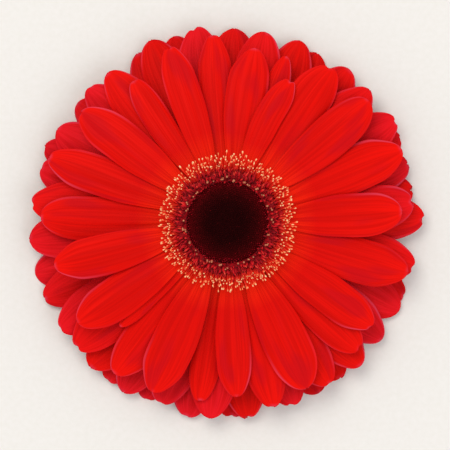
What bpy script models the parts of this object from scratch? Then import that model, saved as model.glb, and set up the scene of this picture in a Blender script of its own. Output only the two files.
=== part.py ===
"""A gerbera flower head, cut just below the head and lying face up.

The sizes are in millimetres and build() turns them into metres. The origin is on the surface that the
head lies on, under the middle of its eye, and +Z points out of the face of the flower. Azimuths are in
degrees, clockwise from +Y when the face is seen from the front.
"""

import math

import bmesh
import bpy

MM = 0.001

HEAD_DIAMETER = 110.0
CLEARANCE = 0.3  # between any two neighbouring pieces

STEM_RADIUS = 3.6
STUB_LENGTH = 3.0
RECEPTACLE_RADIUS = 12.0
RECEPTACLE_FLARE = 8.5  # height over which the stem widens into the receptacle
RECEPTACLE_PROUD = 0.1  # of the receptacle's top above the top florets' roots
STEM_SIDES = 32
# The flare's outline, as shares of its width and of its height.
FLARE_OUTLINE = ((0.0, 0.0), (0.25, 0.14), (0.68, 0.48), (0.93, 0.8), (1.0, 1.0))

FLORET_WIDTH = 13.1  # of the widest ray floret
FLORET_ROOT_WIDTH = 2.4
FLORET_THICKNESS = 0.35
FLORET_ARCH = 0.7  # how far the margins hang below the midrib
FLORET_GROOVE = 0.16
FACE_RISE = 2.0  # of the top florets above their roots
FACE_DROOP = 6.0  # of the same florets' tips
ROOT_SLACK = 0.1  # added to the clearance between the florets' roots
SLOPE = 1.3  # how much thicker a sloping sheet is when it is measured upright

BRACT_THICKNESS = 0.5
BRACTS_IN_ROW = 16
BRACT_NOTCH = 0.75  # how much of a bract's tip its neighbours' notches leave free
UPPER_BRACT_REACH = 4.6  # beyond the receptacle
LOWER_BRACT_REACH = 1.2
LOWER_BRACT_TIP = 0.74  # height of its tips, as a share of the height of the florets' roots

EYE_INSET = 0.2  # of the eye's rim from the receptacle's
EYE_WALL = 1.0
EYE_DOME = 3.4
BUD_RINGS = 7
BUDS_IN_RING = 26
BUD_RELIEF = 0.5

RING_HEIGHT = 1.6
RING_LIFT = 0.25  # added to the clearance above the top florets, which rise outwards
INNER_RING_WIDTH = 1.4
INNER_FLORETS = 30
INNER_FLORET_LENGTH = 3.4
INNER_FLORET_LEAN = 24.0
INNER_FLORET_TAPER = 0.45
FRINGE_RING_WIDTH = 1.3
FRINGE_FLORETS = 36
FRINGE_LENGTH = 4.4
FRINGE_LEAN = 52.0
FRINGE_TAPER = 0.3

# Each skin's sRGB colour and its roughness.
FRONT_FLORET_SKIN = ((226, 24, 12), 0.5)
BACK_FLORET_SKIN = ((208, 20, 14), 0.5)
STEM_SKIN = ((118, 138, 62), 0.6)
UPPER_BRACT_SKIN = ((96, 122, 50), 0.65)
LOWER_BRACT_SKIN = ((84, 110, 44), 0.65)
BUD_SKIN = ((52, 3, 9), 0.8)
INNER_FLORET_SKIN = ((150, 10, 25), 0.6)
FRINGE_SKIN = ((196, 40, 34), 0.6)

ROWS = (0.0, 0.22, 0.44, 0.66, 0.84, 0.95, 1.0)  # shares of a floret's length
COLUMNS = (-1.0, -0.42, 0.0, 0.42, 1.0)  # shares of its half width
WIDEST = 0.66
SWELL = 0.89  # less makes the root end broader
TIP_BLUNTNESS = 2.7
TIP_EDGE = 0.11  # half of the straight edge at the tip, as a share of the width
OVERLAP_PLACES = 24  # along a floret, where it is compared with its neighbours
MERGE = 0.001

# The lists below are for a head of this size, and scale with HEAD_DIAMETER and FLORET_WIDTH.
LISTED_DIAMETER = 110.0
LISTED_WIDTH = 13.1

# The front rows: azimuth, reach from the axis, width, place in the stack (higher covers lower), lean.
FRONT_FLORETS = (
    (9.0, 49.0, 11.6, 4.0, 0.0),
    (19.5, 49.0, 7.0, 2.9, 0.0),
    (24.0, 43.5, 8.0, 4.0, 6.0),
    (34.0, 52.0, 12.6, 3.0, 0.0),
    (49.5, 51.8, 12.0, 4.0, 0.0),
    (67.5, 52.5, 13.0, 3.5, 0.0),
    (86.5, 48.5, 12.3, 4.0, 0.0),
    (105.5, 52.0, 12.5, 3.5, 0.0),
    (125.5, 49.5, 11.0, 4.0, 0.0),
    (134.0, 51.0, 11.0, 3.2, 0.0),
    (148.0, 53.3, 12.0, 2.8, 0.0),
    (154.5, 51.0, 13.1, 4.0, 0.0),
    (166.0, 53.0, 11.0, 3.0, 0.0),
    (177.0, 48.5, 9.8, 4.0, 0.0),
    (189.0, 50.5, 8.5, 3.0, 0.0),
    (204.0, 51.5, 12.6, 4.0, 0.0),
    (216.5, 52.5, 12.0, 3.0, 0.0),
    (226.0, 41.5, 5.0, 3.4, 0.0),
    (236.0, 50.0, 12.0, 4.0, 0.0),
    (256.0, 49.5, 11.5, 4.0, 0.0),
    (272.0, 52.0, 12.4, 3.0, 0.0),
    (290.0, 53.0, 11.0, 3.5, 0.0),
    (307.0, 51.0, 11.8, 4.0, 0.0),
    (321.5, 53.3, 12.0, 3.0, 0.0),
    (326.5, 47.5, 8.0, 3.4, 0.0),
    (341.5, 51.5, 9.5, 4.0, 0.0),
    (355.5, 52.5, 9.5, 3.0, 0.0),
)

# The back rows: azimuth, reach, and the width of the lobe that shows, in degrees. A floret that shows
# more of itself lies higher. The most hidden ones keep their place in the stack and aren't built here.
BACK_FLORETS = (
    (2.0, 54.0, 7.0), (11.0, 54.0, 10.0), (22.0, 54.5, 9.0), (28.0, 53.3, 6.0), (38.5, 54.5, 9.0),
    (47.0, 54.0, 11.0), (58.5, 55.0, 10.0), (63.5, 53.8, 3.0), (72.0, 53.0, 6.0), (80.0, 52.5, 4.0),
    (84.0, 52.0, 12.0), (88.5, 54.8, 11.0), (103.0, 53.5, 11.0), (112.5, 53.5, 6.0),
    (117.0, 53.8, 8.0), (127.0, 54.0, 9.0), (137.0, 54.5, 9.5), (144.0, 53.8, 8.0),
    (152.0, 54.0, 6.0), (160.0, 54.3, 8.5), (174.0, 55.0, 8.0), (178.5, 54.5, 5.0),
    (185.0, 54.7, 10.0), (191.5, 55.5, 7.0), (200.0, 53.8, 9.0), (205.0, 54.5, 5.5),
    (211.5, 55.5, 8.0), (217.0, 55.5, 6.0), (223.5, 55.5, 8.0), (230.5, 54.8, 10.0),
    (237.5, 55.3, 9.0), (247.5, 55.5, 8.0), (255.0, 55.5, 7.5), (265.0, 55.3, 10.5),
    (276.0, 55.0, 12.0), (286.0, 54.3, 8.5), (292.5, 55.2, 7.5), (298.5, 54.0, 8.5),
    (308.5, 53.5, 6.0), (314.0, 54.0, 10.0), (332.0, 53.3, 7.0), (337.0, 55.0, 8.5),
    (344.0, 54.0, 6.0), (351.0, 55.2, 8.5),
)
BACK_FLORET_WIDTH = 13.1
BACK_FLORETS_BUILT = 27

ROOT_RADIUS = RECEPTACLE_RADIUS + CLEARANCE
FULL_REACH = HEAD_DIAMETER / 2
INVOLUCRE_TOP = STUB_LENGTH + RECEPTACLE_FLARE
ROOT_HEIGHT = INVOLUCRE_TOP + CLEARANCE + FLORET_THICKNESS
ROOT_STEP = FLORET_THICKNESS + CLEARANCE + ROOT_SLACK
TIP_REST = FLORET_THICKNESS + 0.25 * FLORET_ARCH  # upper side of a tip that lies on the surface


def colour(red, green, blue):
    """The linear colour of an sRGB one given in whole numbers up to 255."""
    shares = [value / 255 for value in (red, green, blue)]
    linear = [s / 12.92 if s <= 0.04045 else ((s + 0.055) / 1.055) ** 2.4 for s in shares]
    return (*linear, 1.0)


def material(name, rgb, roughness):
    made = bpy.data.materials.new(name)
    made.use_nodes = True
    shader = made.node_tree.nodes["Principled BSDF"]
    shader.inputs["Base Color"].default_value = colour(*rgb)
    shader.inputs["Roughness"].default_value = roughness
    shader.inputs["Metallic"].default_value = 0.0
    return made


def build(name, shape, skin, azimuth=0.0, thickness=0.0):
    """Makes the node of a finished shape in millimetres, thickened downwards if it is a sheet."""
    bmesh.ops.scale(shape, vec=(MM, MM, MM), verts=shape.verts)
    mesh = bpy.data.meshes.new(name)
    shape.to_mesh(mesh)
    shape.free()
    piece = bpy.data.objects.new(name, mesh)
    bpy.context.scene.collection.objects.link(piece)
    mesh.materials.append(material(name, *skin))
    piece.rotation_euler.z = -math.radians(azimuth)
    if thickness:
        wall = piece.modifiers.new("thickness", "SOLIDIFY")
        wall.thickness = thickness * MM
        wall.offset = -1.0
    return piece


def spun(profile, steps):
    """The surface that a profile of (radius, height) points makes when it turns about Z."""
    shape = bmesh.new()
    verts = [shape.verts.new((radius, 0.0, height)) for radius, height in profile]
    edges = [shape.edges.new(pair) for pair in zip(verts, verts[1:])]
    bmesh.ops.spin(
        shape,
        geom=verts + edges,
        axis=(0, 0, 1),
        cent=(0, 0, 0),
        angle=2 * math.pi,
        steps=steps,
        use_merge=True,
    )
    bmesh.ops.remove_doubles(shape, verts=shape.verts, dist=MERGE)
    bmesh.ops.recalc_face_normals(shape, faces=shape.faces)
    return shape


class Floret:
    """A ray floret: a strap with a narrow root, widest two thirds of the way out, and a round tip."""

    def __init__(self, azimuth, reach, width, order, lean=0.0):
        self.azimuth = azimuth
        self.reach = reach * HEAD_DIAMETER / LISTED_DIAMETER
        self.width = width * FLORET_WIDTH / LISTED_WIDTH
        self.order = order
        self.lean = lean
        self.level = 0
        self.name = ""

    def half_width(self, share):
        root = FLORET_ROOT_WIDTH / self.width
        if share < WIDEST:
            swell = math.sin(math.pi / 2 * share / WIDEST) ** SWELL
            return self.width / 2 * (root + (1 - root) * swell)
        tip = (share - WIDEST) / (1 - WIDEST)
        return self.width / 2 * math.sqrt(max(0.0, 1 - tip**TIP_BLUNTNESS))

    def turn(self, share):
        """How far the midrib has turned from the floret's azimuth, in degrees."""
        return self.lean * (share - 1)

    def span(self, radius):
        """The azimuths of the middle and the half width at a radius, in degrees."""
        share = (radius - ROOT_RADIUS) / (self.reach - ROOT_RADIUS)
        half = self.half_width(share) + CLEARANCE / 2
        return self.azimuth + self.turn(share), math.degrees(math.asin(min(1.0, half / radius)))


def overlap(first, second):
    """True where two florets would cross if they lay at one height."""
    end = min(first.reach, second.reach)
    for place in range(OVERLAP_PLACES):
        radius = ROOT_RADIUS + (end - ROOT_RADIUS) * place / (OVERLAP_PLACES - 1)
        middle_a, half_a = first.span(radius)
        middle_b, half_b = second.span(radius)
        apart = abs((middle_a - middle_b + 180) % 360 - 180)
        if apart < half_a + half_b:
            return True
    return False


def stack(florets):
    """Puts each floret one level above the highest of the lower ones that it crosses."""
    florets.sort(key=lambda floret: floret.order)
    for index, floret in enumerate(florets):
        below = [other.level for other in florets[:index] if overlap(floret, other)]
        floret.level = max(below, default=-1) + 1


def number(florets, row):
    for count, floret in enumerate(sorted(florets, key=lambda floret: floret.azimuth), 1):
        floret.name = f"ray_floret_{row}_{count:02d}"


FRONT = [Floret(*listed) for listed in FRONT_FLORETS]
BACK = [Floret(azimuth, reach, BACK_FLORET_WIDTH, lobe / 10 - 1) for azimuth, reach, lobe in BACK_FLORETS]
stack(FRONT + BACK)
BACK.sort(key=lambda floret: (floret.level > 0, -floret.order))
BACK_BUILT = BACK[:BACK_FLORETS_BUILT]
number(FRONT, "front")
number(BACK_BUILT, "back")
TOP_LEVEL = max(floret.level for floret in FRONT)
FACE_HEIGHT = ROOT_HEIGHT + TOP_LEVEL * ROOT_STEP
EYE_BED = FACE_HEIGHT + RECEPTACLE_PROUD


def low_and_high(radius):
    """The heights of the lowest and the highest floret's upper side at a radius."""
    share = min(1.0, max(0.0, (radius - ROOT_RADIUS) / (FULL_REACH - ROOT_RADIUS)))
    fall = (1 + math.cos(math.pi * share)) / 2
    low = TIP_REST + (ROOT_HEIGHT - TIP_REST) * fall
    high = FACE_HEIGHT + FACE_RISE * share - FACE_DROOP * share**2
    return low, high


def floret_height(level, radius, share, across, half):
    """The upper side's height: the level's own dish, less the hang of the margins and the grooves.
    half is the half width there, as a share of the floret's own half width."""
    low, high = low_and_high(radius)
    step = (high - low) / TOP_LEVEL
    room = step - SLOPE * FLORET_THICKNESS - CLEARANCE
    arch = min(FLORET_ARCH, room)
    groove = FLORET_GROOVE * math.sin(math.pi * share) if 0 < abs(across) < 1 else 0.0
    return low + step * level - arch * (across * half) ** 2 - groove


def make_floret(floret):
    shape = bmesh.new()
    bmesh.ops.create_grid(shape, x_segments=len(COLUMNS) - 1, y_segments=len(ROWS) - 1, size=1.0)
    for vert in shape.verts:
        across = COLUMNS[round((vert.co.x + 1) / 2 * (len(COLUMNS) - 1))]
        share = ROWS[round((vert.co.y + 1) / 2 * (len(ROWS) - 1))]
        half = max(floret.half_width(share), TIP_EDGE * floret.width)
        along = ROOT_RADIUS + share * (floret.reach - ROOT_RADIUS)
        turn = math.radians(floret.turn(share))
        side = across * half
        x = along * math.sin(turn) + side * math.cos(turn)
        y = along * math.cos(turn) - side * math.sin(turn)
        height = floret_height(floret.level, math.hypot(x, y), share, across, 2 * half / floret.width)
        vert.co = (x, y, height)
    skin = FRONT_FLORET_SKIN if floret in FRONT else BACK_FLORET_SKIN
    return build(floret.name, shape, skin, floret.azimuth, FLORET_THICKNESS)


def receptacle_outline():
    """(radius, height) points up the outside, from the cut end of the stem to the florets' roots."""
    flare = RECEPTACLE_RADIUS - STEM_RADIUS
    outline = [(STEM_RADIUS, 0.0)]
    for out, up in FLARE_OUTLINE:
        outline.append((STEM_RADIUS + out * flare, STUB_LENGTH + up * RECEPTACLE_FLARE))
    return outline


def make_stem_and_receptacle():
    outline = [(0.0, 0.0), *receptacle_outline(), (RECEPTACLE_RADIUS, EYE_BED), (0.0, EYE_BED)]
    return build("stem_and_receptacle", spun(outline, STEM_SIDES), STEM_SKIN)


def beyond(outline, gap):
    """The outline moved outwards by a gap, square to its slope."""
    moved = []
    for index, (radius, height) in enumerate(outline):
        before = outline[max(0, index - 1)]
        after = outline[min(len(outline) - 1, index + 1)]
        run, rise = after[0] - before[0], after[1] - before[1]
        length = math.hypot(run, rise)
        moved.append((radius + gap * rise / length, height - gap * run / length))
    return moved


def make_bracts(name, outline, gap, tip, skin):
    """A row of bracts joined into a cup, with one pointed lobe for each bract."""
    steps = 2 * BRACTS_IN_ROW
    cup = beyond(outline, gap + BRACT_THICKNESS)
    shape = spun([*cup, tip], steps)
    notch = [BRACT_NOTCH * edge + (1 - BRACT_NOTCH) * point for edge, point in zip(cup[-1], tip)]
    for vert in shape.verts:
        turn = round(math.atan2(vert.co.y, vert.co.x) / (2 * math.pi) * steps)
        if math.hypot(vert.co.x, vert.co.y) > tip[0] - MERGE and turn % 2:
            angle = 2 * math.pi * turn / steps
            vert.co = (notch[0] * math.cos(angle), notch[0] * math.sin(angle), notch[1])
    for face in shape.faces:
        face.normal_update()
    # the outer face of an open cup must be the one that faces out, as the thickness goes inwards
    lowest = min(shape.faces, key=lambda face: face.calc_center_median().z)
    if lowest.normal.xy.dot(lowest.calc_center_median().xy) < 0:
        bmesh.ops.reverse_faces(shape, faces=shape.faces)
    return build(name, shape, skin, thickness=BRACT_THICKNESS)


def make_eye():
    """The closed buds in the middle: a low dome with a small pointed knob on each of its faces."""
    seat = EYE_BED + CLEARANCE
    rim = RECEPTACLE_RADIUS - EYE_INSET
    wall = seat + EYE_WALL
    outline = [(0.0, seat), (rim, seat), (rim, wall)]
    for ring in range(1, BUD_RINGS + 1):
        share = 1 - ring / BUD_RINGS
        outline.append((rim * share, wall + EYE_DOME * (1 - share**2)))
    shape = spun(outline, BUDS_IN_RING)
    buds = [face for face in shape.faces if len(face.verts) == 4 and face.normal.z > 0.1]
    bmesh.ops.poke(shape, faces=buds, offset=BUD_RELIEF)
    return build("disc_buds", shape, BUD_SKIN)


def make_ring(name, inside, outside, count, length, lean, taper, skin):
    """A ring with a row of short florets standing on it, joined because there are so many."""
    foot = FACE_HEIGHT + CLEARANCE + RING_LIFT
    top = foot + RING_HEIGHT
    shape = spun([(inside, foot), (outside, foot), (outside, top), (inside, top), (inside, foot)], 2 * count)
    tops = [face for face in shape.faces if face.normal.z > 0.9]
    tops.sort(key=lambda face: math.atan2(face.calc_center_median().y, face.calc_center_median().x))
    out_by = length * math.sin(math.radians(lean))
    up_by = length * math.cos(math.radians(lean))
    raised = bmesh.ops.extrude_discrete_faces(shape, faces=tops[::2])["faces"]
    for face in raised:
        middle = face.calc_center_median()
        out = middle.xy.normalized()
        for vert in face.verts:
            vert.co.xy = middle.xy + (vert.co.xy - middle.xy) * taper + out * out_by
            vert.co.z += up_by
    return build(name, shape, skin)


def make_all_bracts():
    """Two cups that hug the receptacle. The upper one's tips end just below the lowest florets."""
    outline = receptacle_outline()
    reach = RECEPTACLE_RADIUS + UPPER_BRACT_REACH
    sheets = SLOPE * (FLORET_THICKNESS + BRACT_THICKNESS)
    upper_tip = (reach, low_and_high(reach)[0] - FLORET_GROOVE - sheets - CLEARANCE)
    lower_tip = (RECEPTACLE_RADIUS + LOWER_BRACT_REACH, LOWER_BRACT_TIP * INVOLUCRE_TOP)
    return [
        make_bracts("bracts_upper", outline[3:5], CLEARANCE, upper_tip, UPPER_BRACT_SKIN),
        make_bracts(
            "bracts_lower", outline[1:4], 2 * CLEARANCE + BRACT_THICKNESS, lower_tip, LOWER_BRACT_SKIN
        ),
    ]


def make_rings():
    """The two rings of short florets round the eye, one inside the other."""
    inner = (RECEPTACLE_RADIUS + CLEARANCE, RECEPTACLE_RADIUS + CLEARANCE + INNER_RING_WIDTH)
    fringe = (inner[1] + CLEARANCE, inner[1] + CLEARANCE + FRINGE_RING_WIDTH)
    return [
        make_ring(
            "inner_florets", *inner, INNER_FLORETS, INNER_FLORET_LENGTH,
            INNER_FLORET_LEAN, INNER_FLORET_TAPER, INNER_FLORET_SKIN,
        ),
        make_ring(
            "fringe_florets", *fringe, FRINGE_FLORETS, FRINGE_LENGTH,
            FRINGE_LEAN, FRINGE_TAPER, FRINGE_SKIN,
        ),
    ]


def main():
    for old in list(bpy.data.objects):
        bpy.data.objects.remove(old)
    stem = make_stem_and_receptacle()
    florets = [make_floret(floret) for floret in FRONT + BACK_BUILT]
    for piece in [*florets, *make_all_bracts(), make_eye(), *make_rings()]:
        piece.parent = stem


main()
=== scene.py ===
"""A red gerbera head, cut just below the head and lying face up on a pale floor.

Sizes are in millimetres while a shape is made, and finished() turns them into metres. Azimuths are in
degrees, clockwise from +Y when the face is seen from the front. Heights and radii come from the frame.
"""

import math
import random

import bmesh
import bpy
from mathutils import Matrix, Vector


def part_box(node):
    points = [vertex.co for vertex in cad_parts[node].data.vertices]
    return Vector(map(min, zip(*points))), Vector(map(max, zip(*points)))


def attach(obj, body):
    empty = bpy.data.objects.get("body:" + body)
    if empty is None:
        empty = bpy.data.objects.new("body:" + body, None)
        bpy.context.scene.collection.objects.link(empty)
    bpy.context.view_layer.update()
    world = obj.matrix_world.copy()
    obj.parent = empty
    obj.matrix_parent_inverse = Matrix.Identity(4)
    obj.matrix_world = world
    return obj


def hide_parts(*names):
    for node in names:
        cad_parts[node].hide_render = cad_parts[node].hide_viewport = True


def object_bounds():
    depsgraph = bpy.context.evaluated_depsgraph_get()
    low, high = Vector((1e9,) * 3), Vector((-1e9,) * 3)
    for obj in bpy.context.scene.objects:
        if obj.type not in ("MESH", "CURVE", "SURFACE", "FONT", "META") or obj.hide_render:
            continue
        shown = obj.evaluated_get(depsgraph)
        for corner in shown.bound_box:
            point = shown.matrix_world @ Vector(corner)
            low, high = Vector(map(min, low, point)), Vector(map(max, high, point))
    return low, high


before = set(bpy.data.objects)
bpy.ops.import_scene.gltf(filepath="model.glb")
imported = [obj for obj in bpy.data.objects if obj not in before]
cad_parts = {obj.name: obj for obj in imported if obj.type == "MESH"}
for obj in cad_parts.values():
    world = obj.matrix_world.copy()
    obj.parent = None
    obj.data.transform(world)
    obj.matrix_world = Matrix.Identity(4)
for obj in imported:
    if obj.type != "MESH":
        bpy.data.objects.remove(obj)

CAD_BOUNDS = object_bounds()
MM = 0.001

# ---------------------------------------------------------------- sizes, from the frame

STEM_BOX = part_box("stem_and_receptacle")
CLEARANCE = 0.3
RECEPTACLE_PROUD = 0.1  # of the receptacle's top above the top florets' roots
RECEPTACLE_RADIUS = STEM_BOX[1].x / MM
ROOT_RADIUS = RECEPTACLE_RADIUS + CLEARANCE
FULL_REACH = (CAD_BOUNDS[1].x - CAD_BOUNDS[0].x) / 2 / MM
FACE_HEIGHT = STEM_BOX[1].z / MM - RECEPTACLE_PROUD
ROOT_HEIGHT = min(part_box(node)[1].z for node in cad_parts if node.startswith("ray_floret")) / MM
INVOLUCRE_TOP = 11.5
STUB_LENGTH = 3.0
STEM_RADIUS = 3.6

FLORET_THICKNESS = 0.35
FLORET_ROOT_WIDTH = 2.4
FLORET_ARCH = 0.7  # how far the margins hang below the midrib
FACE_RISE = 2.0  # of the top florets above their roots
FACE_DROOP = 6.0  # of the same florets' tips
TIP_REST = 1.5 * FLORET_THICKNESS  # upper side of a tip that lies on the floor
WIDEST = 0.66  # shares of a floret's length
ROOT_SWELL = 0.89  # less makes the root end broader
TIP_BLUNTNESS = 2.7
OVERLAP_PLACES = 24  # along a floret, where it is compared with its neighbours

# ---------------------------------------------------------------- the florets' places

# Azimuth, reach from the axis, width, place in the stack (higher covers lower), lean.
FRONT_FLORETS = (
    (9.0, 49.0, 11.6, 4.0, 0.0),
    (19.5, 49.0, 7.0, 2.9, 0.0),
    (24.0, 43.5, 8.0, 4.0, 6.0),
    (34.0, 52.0, 12.6, 3.0, 0.0),
    (49.5, 51.8, 12.0, 4.0, 0.0),
    (67.5, 52.5, 13.0, 3.5, 0.0),
    (86.5, 48.5, 12.3, 4.0, 0.0),
    (105.5, 52.0, 12.5, 3.5, 0.0),
    (125.5, 49.5, 11.0, 4.0, 0.0),
    (134.0, 51.0, 11.0, 3.2, 0.0),
    (148.0, 53.3, 12.0, 2.8, 0.0),
    (154.5, 51.0, 13.1, 4.0, 0.0),
    (166.0, 53.0, 11.0, 3.0, 0.0),
    (177.0, 48.5, 9.8, 4.0, 0.0),
    (189.0, 50.5, 8.5, 3.0, 0.0),
    (204.0, 51.5, 12.6, 4.0, 0.0),
    (216.5, 52.5, 12.0, 3.0, 0.0),
    (226.0, 41.5, 5.0, 3.4, 0.0),
    (236.0, 50.0, 12.0, 4.0, 0.0),
    (256.0, 49.5, 11.5, 4.0, 0.0),
    (272.0, 52.0, 12.4, 3.0, 0.0),
    (290.0, 53.0, 11.0, 3.5, 0.0),
    (307.0, 51.0, 11.8, 4.0, 0.0),
    (321.5, 53.3, 12.0, 3.0, 0.0),
    (326.5, 47.5, 8.0, 3.4, 0.0),
    (341.5, 51.5, 9.5, 4.0, 0.0),
    (355.5, 52.5, 9.5, 3.0, 0.0),
)

# Azimuth, reach, and the width of the lobe that shows, in degrees. A wider lobe lies higher.
BACK_FLORETS = (
    (2.0, 54.0, 7.0), (11.0, 54.0, 10.0), (22.0, 54.5, 9.0), (28.0, 53.3, 6.0), (38.5, 54.5, 9.0),
    (47.0, 54.0, 11.0), (58.5, 55.0, 10.0), (63.5, 53.8, 3.0), (72.0, 53.0, 6.0), (80.0, 52.5, 4.0),
    (84.0, 52.0, 12.0), (88.5, 54.8, 11.0), (103.0, 53.5, 11.0), (112.5, 53.5, 6.0),
    (117.0, 53.8, 8.0), (127.0, 54.0, 9.0), (137.0, 54.5, 9.5), (144.0, 53.8, 8.0),
    (152.0, 54.0, 6.0), (160.0, 54.3, 8.5), (174.0, 55.0, 8.0), (178.5, 54.5, 5.0),
    (185.0, 54.7, 10.0), (191.5, 55.5, 7.0), (200.0, 53.8, 9.0), (205.0, 54.5, 5.5),
    (211.5, 55.5, 8.0), (217.0, 55.5, 6.0), (223.5, 55.5, 8.0), (230.5, 54.8, 10.0),
    (237.5, 55.3, 9.0), (247.5, 55.5, 8.0), (255.0, 55.5, 7.5), (265.0, 55.3, 10.5),
    (276.0, 55.0, 12.0), (286.0, 54.3, 8.5), (292.5, 55.2, 7.5), (298.5, 54.0, 8.5),
    (308.5, 53.5, 6.0), (314.0, 54.0, 10.0), (332.0, 53.3, 7.0), (337.0, 55.0, 8.5),
    (344.0, 54.0, 6.0), (351.0, 55.2, 8.5),
)
BACK_FLORET_WIDTH = 13.1
BACK_FLORETS_IN_FRAME = 27  # the others are hidden for the most part, and only drawn here


class Floret:
    """A ray floret: a strap with a narrow root, widest two thirds of the way out, and a round tip."""

    def __init__(self, azimuth, reach, width, order, lean=0.0):
        self.azimuth = azimuth
        self.reach = reach
        self.width = width
        self.order = order
        self.lean = lean
        self.level = 0
        self.name = ""
        self.node = ""

    def half_width(self, share):
        """Half the floret's width at a share of its length."""
        root = FLORET_ROOT_WIDTH / self.width
        if share < WIDEST:
            swell = math.sin(math.pi / 2 * share / WIDEST) ** ROOT_SWELL
            return self.width / 2 * (root + (1 - root) * swell)
        tip = (share - WIDEST) / (1 - WIDEST)
        return self.width / 2 * math.sqrt(max(0.0, 1 - tip**TIP_BLUNTNESS))

    def turn(self, share):
        """How far the midrib has turned from the floret's azimuth, in degrees."""
        return self.lean * (share - 1)

    def span(self, radius):
        """The azimuths of the middle and the half width at a radius, in degrees."""
        share = (radius - ROOT_RADIUS) / (self.reach - ROOT_RADIUS)
        half = self.half_width(share) + CLEARANCE / 2
        return self.azimuth + self.turn(share), math.degrees(math.asin(min(1.0, half / radius)))


def overlap(first, second):
    """True where two florets would cross if they lay at one height."""
    end = min(first.reach, second.reach)
    for place in range(OVERLAP_PLACES):
        radius = ROOT_RADIUS + (end - ROOT_RADIUS) * place / (OVERLAP_PLACES - 1)
        middle_a, half_a = first.span(radius)
        middle_b, half_b = second.span(radius)
        apart = abs((middle_a - middle_b + 180) % 360 - 180)
        if apart < half_a + half_b:
            return True
    return False


def stack(florets):
    """Puts each floret one level above the highest of the lower ones that it crosses."""
    florets.sort(key=lambda floret: floret.order)
    for index, floret in enumerate(florets):
        below = [other.level for other in florets[:index] if overlap(floret, other)]
        floret.level = max(below, default=-1) + 1


def number(florets, row, in_frame):
    """Names the florets of a row in the order of their azimuths, and their nodes if the frame has them."""
    for count, floret in enumerate(sorted(florets, key=lambda floret: floret.azimuth), 1):
        floret.name = f"petal_{row}_{count:02d}"
        floret.node = f"ray_floret_{row}_{count:02d}" if in_frame else ""


FRONT = [Floret(*listed) for listed in FRONT_FLORETS]
BACK = [Floret(azimuth, reach, BACK_FLORET_WIDTH, lobe / 10 - 1) for azimuth, reach, lobe in BACK_FLORETS]
stack(FRONT + BACK)
BACK.sort(key=lambda floret: (floret.level > 0, -floret.order))
number(FRONT, "front", True)
number(BACK[:BACK_FLORETS_IN_FRAME], "back", True)
number(BACK[BACK_FLORETS_IN_FRAME:], "middle", False)
TOP_LEVEL = max(floret.level for floret in FRONT)


def low_and_high(radius):
    """The heights of the lowest and the highest floret's upper side at a radius."""
    share = min(1.0, max(0.0, (radius - ROOT_RADIUS) / (FULL_REACH - ROOT_RADIUS)))
    fall = (1 + math.cos(math.pi * share)) / 2
    low = TIP_REST + (ROOT_HEIGHT - TIP_REST) * fall
    high = FACE_HEIGHT + FACE_RISE * share - FACE_DROOP * share**2
    return low, high


# ---------------------------------------------------------------- materials


def linear(hex_colour):
    """The linear RGBA of an sRGB hex colour."""
    shares = [int(hex_colour[start : start + 2], 16) / 255 for start in (1, 3, 5)]
    return (*(s / 12.92 if s <= 0.04045 else ((s + 0.055) / 1.055) ** 2.4 for s in shares), 1.0)


def add_node(tree, kind, inputs=None, stops=(), **settings):
    """Adds a node. An input that is given a socket is linked, and one that is given a value is set.
    The stops are the places and hex colours of a colour ramp."""
    node = tree.nodes.new(kind)
    for key, value in settings.items():
        setattr(node, key, value)
    for key, value in (inputs or {}).items():
        if isinstance(value, bpy.types.NodeSocket):
            tree.links.new(value, node.inputs[key])
        else:
            node.inputs[key].default_value = value
    if stops:
        points = node.color_ramp.elements
        for place, _ in stops[2:]:
            points.new(place)
        for point, (place, hex_colour) in zip(points, stops):
            point.position = place
            point.color = linear(hex_colour)
    return node


def new_material(name, **constants):
    """A new material with its node tree and its shader, on which the constants are set."""
    made = bpy.data.materials.new(name)
    made.use_nodes = True
    shader = made.node_tree.nodes["Principled BSDF"]
    for key, value in constants.items():
        shader.inputs[key.replace("_", " ")].default_value = value
    return made, made.node_tree, shader


PLANT_IOR = 1.4  # of wet plant cells
PLANT_SPECULAR = 0.15  # of soft tissue without wax
FLOOR_MOTTLE = 1 / 0.7  # mm from one spot of the floor's mottle to the next
SHADE_SHIFT = 37.0  # how far the attribute shade moves a petal's pattern

# How many cells a petal's patterns have across it and along it, and their detail. The veins stand
# 0.45 mm apart where the petal is widest.
PETAL_PATTERNS = {
    "veins": ((28.0, 1.5), 3.0),
    "bands": ((6.0, 0.9), 2.0),
    "patches": ((3.4, 2.2), 1.0),
    "sides": ((1.7, 1.1), 1.0),
}
# Where a petal's colour is that of its root, its face and its tip, as shares of its length. The root's glow
# is painted light that comes through, and the tip is painted lighter against the shade that falls where it
# droops.
PETAL_COLOUR_PLACES = (0.13, 0.25, 0.85)
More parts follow.
